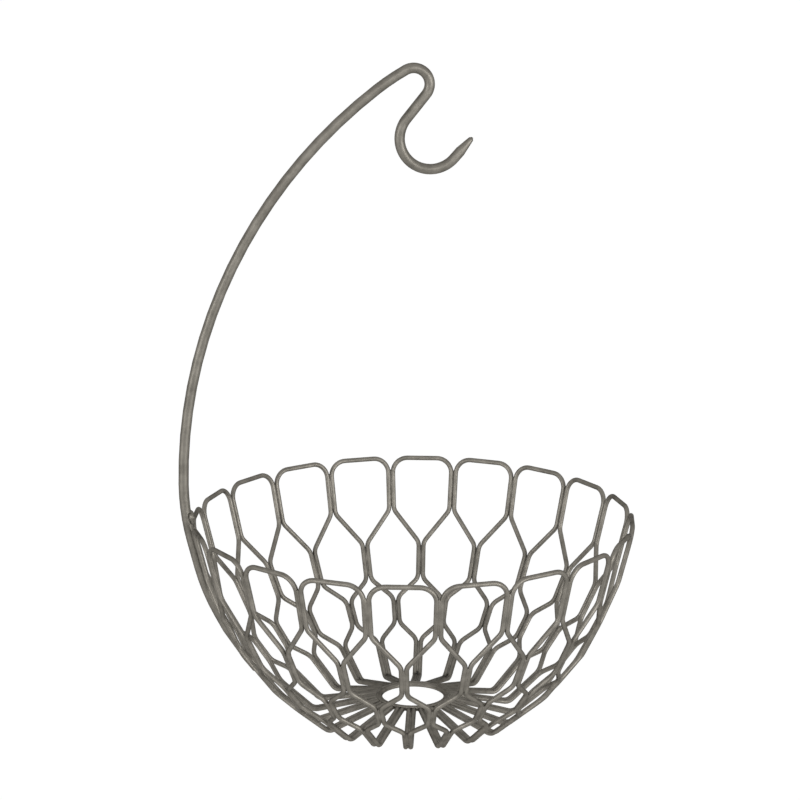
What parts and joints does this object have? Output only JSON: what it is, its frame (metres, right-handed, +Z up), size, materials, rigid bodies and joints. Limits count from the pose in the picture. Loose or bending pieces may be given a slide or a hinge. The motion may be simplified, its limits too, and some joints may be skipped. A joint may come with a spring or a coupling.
{
  "type": "wire fruit bowl with hanging hook",
  "caption": "Open wire fruit bowl whose bent wires form a honeycomb wall, with a tall curved stem that ends in a hook over the bowl for hanging bananas.",
  "frame": {"origin": "on the bowl's axis, at the height of the surface that its feet stand on", "axes": "+Z up along the bowl's axis, hook stem at -X, tip of the hook towards +X"},
  "size_m": [0.2774, 0.2702, 0.4048],
  "materials": {
    "coated_wire": "satin grey-brown pewter coat on steel wire",
    "coated_stem": "satin grey-brown pewter coat on thick steel wire"
  },
  "bodies": {
    "root": {"petal_wire_01": "coated_wire", "petal_wire_02": "coated_wire", "petal_wire_03": "coated_wire", "petal_wire_04": "coated_wire", "petal_wire_05": "coated_wire", "petal_wire_06": "coated_wire", "petal_wire_07": "coated_wire", "petal_wire_08": "coated_wire", "petal_wire_09": "coated_wire", "petal_wire_10": "coated_wire", "petal_wire_11": "coated_wire", "petal_wire_12": "coated_wire", "petal_wire_13": "coated_wire", "petal_wire_14": "coated_wire", "petal_wire_15": "coated_wire", "petal_wire_16": "coated_wire", "petal_wire_17": "coated_wire", "petal_wire_18": "coated_wire", "petal_wire_19": "coated_wire", "petal_wire_20": "coated_wire", "centre_ring": "coated_wire", "hook_stem": "coated_stem"}
  },
  "joints": []
}
